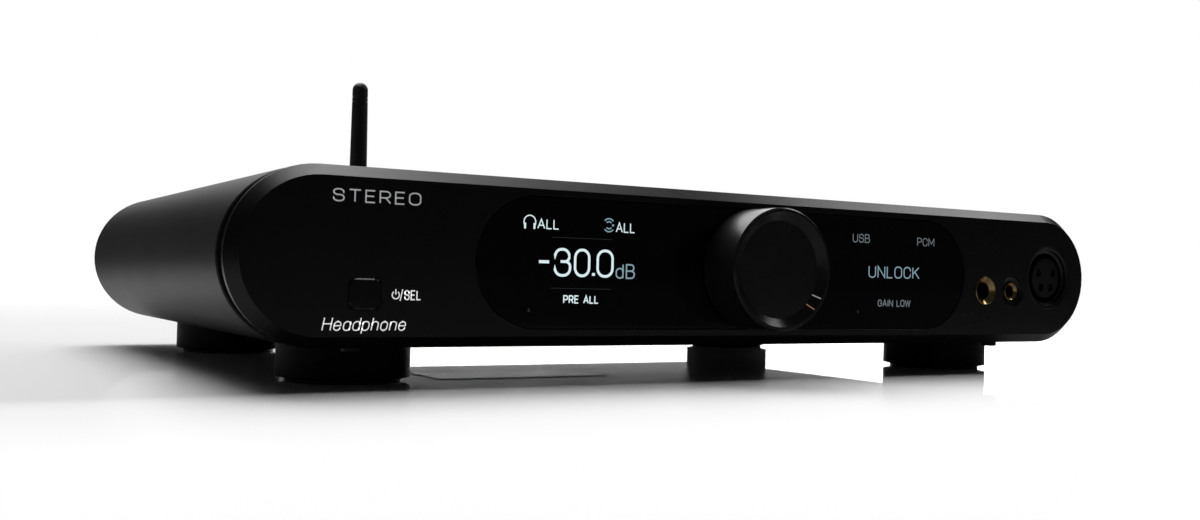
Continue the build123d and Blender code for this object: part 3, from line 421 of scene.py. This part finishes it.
class Print:
    """A thin raised layer of strokes: inks, painted reflections and painted shade, or the lit lines of a
    display.
    """

    THICKNESS = 0.04 * MM
    CLEARANCE = 0.01 * MM
    # Ends closer than this close a line.
    JOINED = 1e-7
    # The least cosine of half a corner's turn, so that no corner juts out far.
    SHARPEST = 0.4

    def __init__(self, name, origin, across, up):
        self.name = name
        self.shape = bmesh.new()
        self.across, self.up = Vector(across), Vector(up)
        self.out = self.across.cross(self.up)
        self.origin = Vector(origin) + self.out * self.CLEARANCE

    def place(self, point, height):
        return self.origin + self.across * point.x + self.up * point.y + self.out * height

    def line(self, points, width):
        """A flat bar of even width along the points, closed where they come back to their start."""
        closed = (points[0] - points[-1]).length < self.JOINED
        points = points[:-1] if closed else points
        count = len(points)
        rows = []
        for index, point in enumerate(points):
            before = points[index - 1] if index or closed else point
            after = points[(index + 1) % count] if index < count - 1 or closed else point
            into = (point - before).normalized() if point is not before else (after - point).normalized()
            out_of = (after - point).normalized() if point is not after else into
            side = Vector((-(into + out_of).y, (into + out_of).x)).normalized()
            half = width / 2 / max(self.SHARPEST, side.dot(Vector((-into.y, into.x))))
            corners = [(point + side * half, self.THICKNESS), (point - side * half, self.THICKNESS),
                       (point - side * half, 0), (point + side * half, 0)]
            rows.append([self.shape.verts.new(self.place(*corner)) for corner in corners])
        self.skin(rows, closed)

    def skin(self, rows, closed=False):
        """Faces round a bar whose sections, of four corners each, are the rows."""
        count = len(rows)
        for index in range(count if closed else count - 1):
            row, following = rows[index], rows[(index + 1) % count]
            for k in range(4):
                self.shape.faces.new((row[k], following[k], following[k - 3], row[k - 3]))
        if not closed:
            self.shape.faces.new(rows[0])
            self.shape.faces.new(rows[-1][::-1])

    def wrap(self, surface, start, end, lift, width):
        """A bar from start to end on the surface, which is found by looking back along lift."""
        aside = (end - start).cross(lift).normalized() * width / 2
        rows = []
        for step in range(WRAP_STEPS + 1):
            place, facing, _, _ = surface.ray_cast(start.lerp(end, step / WRAP_STEPS) + lift, -lift)
            low, high = place + facing * self.CLEARANCE, place + facing * self.THICKNESS
            corners = (low - aside, low + aside, high + aside, high - aside)
            rows.append([self.shape.verts.new(corner) for corner in corners])
        self.skin(rows)

    def write(self, text, left, right, base, height, weight, slant=0.0, gap=0.24):
        """Text from left to right in millimetres, with capitals of that height on that base line."""
        size = height - weight
        stretch = (right - left - weight) / (natural_width(text, gap) * size)
        pen = 0.0
        for letter in text:
            width, strokes = GLYPHS[letter]
            for stroke in strokes:
                line = [
                    MM * Vector((left + weight / 2 + ((pen + p.x) * stretch + slant * p.y) * size,
                                 base + weight / 2 + p.y * size))
                    for p in rounded_line(stroke)
                ]
                self.line(line, weight * MM)
            pen += width + gap

    def label(self, text, middle, base, height, weight, gap=0.28):
        """Text of its natural width, centred on middle."""
        half = (natural_width(text, gap) * (height - weight) + weight) / 2
        self.write(text, middle - half, middle + half, base, height, weight, gap=gap)

    def bar(self, start, end, weight):
        self.line([MM * Vector(start), MM * Vector(end)], weight * MM)

    def finish(self, material, body, slot):
        bmesh.ops.recalc_face_normals(self.shape, faces=self.shape.faces)
        mesh = bpy.data.meshes.new(self.name)
        self.shape.to_mesh(mesh)
        self.shape.free()
        mesh.materials.append(material)
        piece = bpy.data.objects.new(self.name, mesh)
        bpy.context.scene.collection.objects.link(piece)
        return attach(piece, body)


def on_front(name, depth):
    """A print on the plane where Y is depth, placed from the panel's centre."""
    return Print(name, (CENTRE_X, depth, MIDDLE_Z), (1, 0, 0), (0, 0, 1))


def surface_of(node):
    return BVHTree.FromObject(nodes[node], bpy.context.evaluated_depsgraph_get())


def on_rear(name, node, x, z):
    """A print on what a line from behind meets first of the node, at x and z, with its origin there."""
    start = Vector((x, cad_box[1].y, z))
    place, facing, _, _ = surface_of(node).ray_cast(start, Vector((0, -1, 0)))
    across = Vector((-1, 0, 0))
    return Print(name, place, across, facing.cross(across))


def millimetres(points):
    return [MM * point for point in points]


def panel_lettering():
    """Generic words where the panel is marked, and the power button's mark."""
    word = on_front("panel_word_upper", FRONT_Y)
    word.write("STEREO", -142.3, -116.9, 14.8, 3.6, 0.4, gap=0.30)
    word.finish(GREY_INK_PAINTED_GLOW, "chassis", "label")
    word = on_front("panel_word_lower", FRONT_Y)
    word.write("Headphone", -144.5, -120.8, -20.1, 3.7, 0.31, slant=0.2, gap=0.24)
    word.finish(WHITE_INK_PAINTED_GLOW, "chassis", "label")
    mark = on_front("panel_power_mark", FRONT_Y)
    mark.line(millimetres(arc((-123.7, -10.2), 1.05, 125, 415)), 0.3 * MM)
    mark.bar((-123.7, -8.6), (-123.7, -10.1), 0.3)
    mark.bar((-122.4, -11.8), (-121.7, -8.6), 0.3)
    mark.write("SEL", -121.2, -116.2, -11.6, 2.8, 0.36, gap=0.28)
    mark.finish(WHITE_INK_PAINTED_GLOW, "chassis", "label")


def left_readouts():
    """The level in the middle, with the outputs above and below it."""
    level = on_front("readout_level", WINDOW_Y)
    for character, left, right, weight in LEVEL:
        level.write(character, left, right, LEVEL_BASE, LEVEL_HEIGHT, weight)
    level.bar((-79.2, 0.3), (-75.8, 0.3), 0.9)
    level.finish(READOUT_BRIGHT, "chassis", "display_glass")
    unit = on_front("readout_unit", WINDOW_Y)
    unit.write("dB", -52.5, -45.5, -4.2, 4.6, 0.45, gap=0.26)
    unit.finish(READOUT_BLUE, "chassis", "display_glass")
    outputs = on_front("readout_outputs", WINDOW_Y)
    outputs.write("PRE ALL", -70.7, -58.4, -12.0, 2.5, 0.38, gap=0.26)
    outputs.write("ALL", -80.0, -72.7, 10.0, 3.0, 0.34)
    outputs.write("ALL", -52.8, -45.8, 10.0, 3.1, 0.34)
    outputs.line(millimetres(arc((-82.55, 11.9), 1.95, -30, 210)), 0.34 * MM)
    for x in (-84.1, -81.0):
        outputs.bar((x, 11.6), (x, 9.9), 0.6)
    outputs.finish(READOUT_BRIGHT, "chassis", "display_glass")
    waves = on_front("readout_waves", WINDOW_Y)
    for radius in (1.1, 2.0):
        waves.line(millimetres(arc((-55.3, 12.1), radius, 40, 140, 12)), 0.36 * MM)
        waves.line(millimetres(arc((-55.3, 12.1), radius, 220, 320, 12)), 0.36 * MM)
    waves.bar((-54.2, 12.1), (-53.5, 12.1), 0.6)
    waves.finish(READOUT_BLUE, "chassis", "display_glass")
    rules = on_front("readout_rules", WINDOW_Y)
    for height in (7.7, -7.5):
        rules.bar((-75, height), (-54, height), 0.12)
    rules.bar((-82.5, -14.4), (-81.8, -14.4), 0.35)
    rules.bar((-82.3, -14.4), (-82.3, -13.6), 0.35)
    rules.finish(READOUT_FAINT, "chassis", "display_glass")


def right_readouts():
    """The source, the format, the lock state and the gain."""
    state = on_front("readout_state", WINDOW_Y)
    state.write("UNLOCK", 51.9, 76.7, -1.7, 4.3, 0.42)
    state.finish(READOUT_BLUE, "chassis", "display_glass")
    modes = on_front("readout_modes", WINDOW_Y)
    modes.write("USB", 44.2, 52.2, 10.5, 3.1, 0.32)
    modes.write("PCM", 75.3, 83.9, 10.3, 3.0, 0.30)
    modes.write("GAIN LOW", 56.6, 72.5, -11.8, 2.5, 0.36)
    modes.finish(READOUT_DIM, "chassis", "display_glass")
    marks = on_front("readout_mark_right", WINDOW_Y)
    marks.bar((47.0, -13.9), (47.6, -13.9), 0.35)
    marks.bar((47.2, -13.9), (47.2, -13.2), 0.35)
    marks.finish(READOUT_FAINT, "chassis", "display_glass")


def rear_lettering():
    """Generic words beside the sockets, and the rocker's on and off marks."""
    words = on_rear("rear_words", "rear_panel", CENTRE_X, MIDDLE_Z + REAR_WORD_BASE * MM)
    words.origin.x, words.origin.z = CENTRE_X, MIDDLE_Z
    above, below = REAR_WORD_BASE, -REAR_WORD_BASE - REAR_WORD_HEIGHT
    named = (("mains_inlet", "AC IN"), ("trigger_jack", "TRIG"), ("usb_socket", "USB"),
             ("optical_socket", "OPT"))

    def word(text, x, base):
        words.label(text, (CENTRE_X - x) / MM, base, REAR_WORD_HEIGHT, REAR_WORD_WEIGHT)

    for node, text in named:
        word(text, middle_of(node).x, above)
    word("ANT", middle_of("aerial_socket").x, below)
    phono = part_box("phono_jacks")[1].x - PHONO_WASHER
    word("L", phono, above)
    word("R", phono - PHONO_SPACING, above)
    word("LINE OUT", phono - PHONO_SPACING / 2, below)
    word("DIG IN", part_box("phono_jacks")[0].x + PHONO_WASHER, above)
    words.finish(GREY_INK_PAINTED_GLOW, "chassis", "label")
    low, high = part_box("power_rocker")
    rocker, quarter = middle_of("power_rocker"), (high.z - low.z) / 4
    on_mark = on_rear("rocker_on_mark", "power_rocker", rocker.x, rocker.z + quarter)
    on_mark.bar((0, -ROCKER_MARK_REACH), (0, ROCKER_MARK_REACH), ROCKER_MARK_WEIGHT)
    on_mark.finish(WHITE_INK_PAINTED_GLOW, "rocker", "label")
    off_mark = on_rear("rocker_off_mark", "power_rocker", rocker.x, rocker.z - quarter)
    off_mark.line(millimetres(arc((0, 0), ROCKER_MARK_REACH, 0, 360)), ROCKER_MARK_WEIGHT * MM)
    off_mark.finish(WHITE_INK_PAINTED_GLOW, "rocker", "label")


def underside_gap_shade():
    """Painted shade: a fine dark line round the label, which faces the table, in place of the shadow in the
    gap round it.
    """
    low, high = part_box("underside_label")
    across, along = (high.x - low.x) / 2 - GAP_SHADE_INSET, (high.y - low.y) / 2 - GAP_SHADE_INSET
    middle = Vector(((low.x + high.x) / 2, (low.y + high.y) / 2, low.z))
    gap_shade = Print("label_painted_gap_shade", middle, (-1, 0, 0), (0, 1, 0))
    corners = [(-across, -along), (across, -along), (across, along), (-across, along), (-across, -along)]
    gap_shade.line([Vector(corner) for corner in corners], GAP_SHADE_WIDTH)
    gap_shade.finish(GAP_SHADE_PAINT, "chassis", "label")


def knob_painted_reflections():
    """Two short painted reflections across the knob's bevel, at the lower right: a pale one, and a copper one
    that stands for the gold jack ring.
    """
    knob = surface_of("volume_knob")
    lift = Vector((0, -KNOB_REACH, 0))
    centre = Vector((CENTRE_X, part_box("volume_knob")[0].y, MIDDLE_Z))
    # Each stroke here is a painted reflection on the bevel, drawn as glowing ink.
    for name, angle, material in (("knob_pale_painted_reflection", -30, GREY_INK_PAINTED_GLOW), ("knob_copper_painted_reflection", -44, COPPER_PAINTED_REFLECTION)):
        turn = math.radians(angle)
        radial = Vector((math.cos(turn), 0, math.sin(turn)))
        mark = Print(name, centre, (0, 0, 1), radial)
        mark.wrap(knob, centre + radial * REFLECTION_INNER, centre + radial * REFLECTION_OUTER, lift, REFLECTION_WIDTH)
        mark.finish(material, "knob", "label")


# ---------------------------------------------------------------- studio
CAMERA_ASIDE, CAMERA_AWAY, CAMERA_HEIGHT = -244.855 * MM, 312.713 * MM, 32.335 * MM
CAMERA_YAW, CAMERA_PITCH, CAMERA_ROLL = 0.538, 0.016, 0.024
LENS, SENSOR = 35.874, 36.0
CLIP_START, CLIP_END = 0.01, 60
# Each glow of the world: direction, cosine where it starts, cosine where it is full, radiance.
WORLD_GLOWS = [
    ((0, 0, 1), -1.01, -1.0, 0.015),
    ((0.09, 0.6, 0.8), 0.80, 0.97, 2.2),
    ((0.6, 0.8, 0.12), 0.90, 0.975, 2.1),
]
# Each light: name, place, the point that it faces, width, height, radiance.
SOFT_BOXES = [
    ("overhead", (-0.12, 0.48, 1.1), (-0.05, 0.05, 0), 0.9, 0.7, 3.3),
    ("right", (1.12, -0.05, 1.02), (0.1, -0.1, 0.04), 0.7, 0.45, 2.4),
    ("strip", (0.02, -0.12, 1.1), (0.02, -0.12, 0), 0.6, 0.09, 3.6),
]
FLOOR_SIZE, FLOOR_WHITE, FLOOR_IOR, FLOOR_ROUGHNESS = 12, 0.92, 1.5, 0.008
# Painted light on the floor in front of the panel, in two equal parts, each fading over a stretch of Y.
PAINTED_FLOOR_LIGHT = 0.14
FILL_AT_PANEL, FILL_IN_FRONT = (FRONT_Y - 12 * MM, FRONT_Y + 4 * MM), (FRONT_Y - 90 * MM, FRONT_Y - 15 * MM)
# The table turns into plain white between these distances from the origin.
WHITE_SPAN, WHITE_STRENGTH = (0.35, 0.9), 1.1
# Painted shade: the matt colour that all rays but the camera's find, a share by Y times one by distance from
# the origin, darker in front of the panel and far off.
SHADE_BY_DEPTH, DEPTH_SPAN = (0.33, 1.0), (-0.16, 0.0)
SHADE_BY_DISTANCE, DISTANCE_SPAN = (0.55, 0.06), (0.22, 0.60)


def place_camera():
    """The camera stands in front of the left end, near the table, and looks along the panel."""
    data = bpy.data.cameras.new("camera")
    data.lens, data.sensor_width = LENS, SENSOR
    data.clip_start, data.clip_end = CLIP_START, CLIP_END
    forward = Vector((math.sin(CAMERA_YAW) * math.cos(CAMERA_PITCH),
                      math.cos(CAMERA_YAW) * math.cos(CAMERA_PITCH), math.sin(CAMERA_PITCH)))
    level = Vector((math.cos(CAMERA_YAW), -math.sin(CAMERA_YAW), 0))
    above = level.cross(forward)
    right = level * math.cos(CAMERA_ROLL) + above * math.sin(CAMERA_ROLL)
    upward = above * math.cos(CAMERA_ROLL) - level * math.sin(CAMERA_ROLL)
    turn = Matrix((right, upward, -forward)).transposed()
    camera = bpy.data.objects.new("camera", data)
    camera.matrix_world = turn.to_4x4()
    camera.location = (CENTRE_X + CAMERA_ASIDE, FRONT_Y - CAMERA_AWAY, CAMERA_HEIGHT)
    bpy.context.scene.collection.objects.link(camera)
    bpy.context.scene.camera = camera


def soft_box(name, place, target, width, height, radiance):
    """A soft light of even radiance that the camera doesn't see."""
    data = bpy.data.lights.new(name, "AREA")
    data.shape, data.size, data.size_y = "RECTANGLE", width, height
    data.energy = radiance * math.pi * width * height
    light = bpy.data.objects.new(name, data)
    light.location = place
    light.rotation_mode = "QUATERNION"
    light.rotation_quaternion = (Vector(target) - Vector(place)).to_track_quat("-Z", "Y")
    light.visible_camera = False
    bpy.context.scene.collection.objects.link(light)


def light_world():
    """A white room to the camera. To the object it is bright behind and above, and dark in front."""
    world = bpy.data.worlds.new("studio")
    world.use_nodes = True
    bpy.context.scene.world = world
    tree = world.node_tree
    tree.nodes.clear()
    direction = add_node(tree, "ShaderNodeTexCoord").outputs["Generated"]
    total = 0.0
    for axis, start, end, radiance in WORLD_GLOWS:
        aim = {0: direction, 1: Vector(axis).normalized()}
        cosine = add_node(tree, "ShaderNodeVectorMath", aim, operation="DOT_PRODUCT").outputs["Value"]
        span = {"Value": cosine, "From Min": start, "From Max": end, "To Min": 0.0, "To Max": radiance}
        glow = add_node(tree, "ShaderNodeMapRange", span, interpolation_type="SMOOTHSTEP")
        both = {0: total, 1: glow.outputs["Result"]}
        total = add_node(tree, "ShaderNodeMath", both, operation="ADD").outputs[0]
    white = (1, 1, 1, 1)
    lit = add_node(tree, "ShaderNodeBackground", {"Color": white, "Strength": total})
    shown = add_node(tree, "ShaderNodeBackground", {"Color": white, "Strength": 1.0})
    seen = add_node(tree, "ShaderNodeLightPath").outputs["Is Camera Ray"]
    mix = add_node(tree, "ShaderNodeMixShader", {0: seen, 1: lit.outputs[0], 2: shown.outputs[0]})
    add_node(tree, "ShaderNodeOutputWorld", {0: mix.outputs[0]})


def lay_floor():
    """A white glossy table that ends in the white of the room, with painted light in front of the panel and
    painted shade for all rays but the camera's.
    """
    bpy.ops.mesh.primitive_plane_add(size=FLOOR_SIZE, location=(0, 0, 0))
    floor = bpy.context.object
    floor.name = "floor"
    recipe = Recipe("floor")
    matt = recipe.add("ShaderNodeBsdfDiffuse", {"Color": (FLOOR_WHITE, FLOOR_WHITE, FLOOR_WHITE, 1)})
    share = recipe.add("ShaderNodeFresnel", {"IOR": FLOOR_IOR}).outputs[0]
    gloss = recipe.add("ShaderNodeBsdfGlossy", {"Color": share, "Roughness": FLOOR_ROUGHNESS})
    surface = recipe.add("ShaderNodeAddShader", {0: matt.outputs[0], 1: gloss.outputs[0]})
    depth = recipe.add("ShaderNodeSeparateXYZ", {0: recipe.place}).outputs["Y"]
    # Painted light on the table in front of the panel.
    fills = [recipe.spread(depth, PAINTED_FLOOR_LIGHT, 0.0, *span) for span in (FILL_AT_PANEL, FILL_IN_FRONT)]
    fill = recipe.add("ShaderNodeEmission", {"Strength": recipe.math("ADD", *fills)})
    table = recipe.add("ShaderNodeAddShader", {0: surface.outputs[0], 1: fill.outputs[0]})
    distance = recipe.add("ShaderNodeVectorMath", {0: recipe.place}, operation="LENGTH").outputs["Value"]
    far = recipe.spread(distance, 0.0, 1.0, *WHITE_SPAN)
    glow = recipe.add("ShaderNodeEmission", {"Strength": WHITE_STRENGTH})
    shown = recipe.add("ShaderNodeMixShader", {0: far, 1: table.outputs[0], 2: glow.outputs[0]})
    # Painted shade: for all rays but the camera's the table is darker in front of the panel and far off.
    behind = recipe.spread(depth, *SHADE_BY_DEPTH, *DEPTH_SPAN)
    near = recipe.spread(distance, *SHADE_BY_DISTANCE, *DISTANCE_SPAN)
    dull = recipe.add("ShaderNodeBsdfDiffuse", {"Color": recipe.math("MULTIPLY", behind, near)})
    shade = recipe.add("ShaderNodeAddShader", {0: dull.outputs[0], 1: gloss.outputs[0]})
    seen = recipe.add("ShaderNodeLightPath").outputs["Is Camera Ray"]
    mix = recipe.add("ShaderNodeMixShader", {0: seen, 1: shade.outputs[0], 2: shown.outputs[0]})
    recipe.tree.links.new(mix.outputs[0], recipe.tree.nodes["Material Output"].inputs["Surface"])
    floor.data.materials.append(recipe.material)


def light_studio():
    for soft_light in SOFT_BOXES:
        soft_box(*soft_light)


dress_frame()
panel_lettering()
left_readouts()
right_readouts()
knob_painted_reflections()
underside_gap_shade()
rear_lettering()
place_camera()
light_world()
light_studio()
lay_floor()
bpy.context.scene.view_settings.view_transform = "Standard"
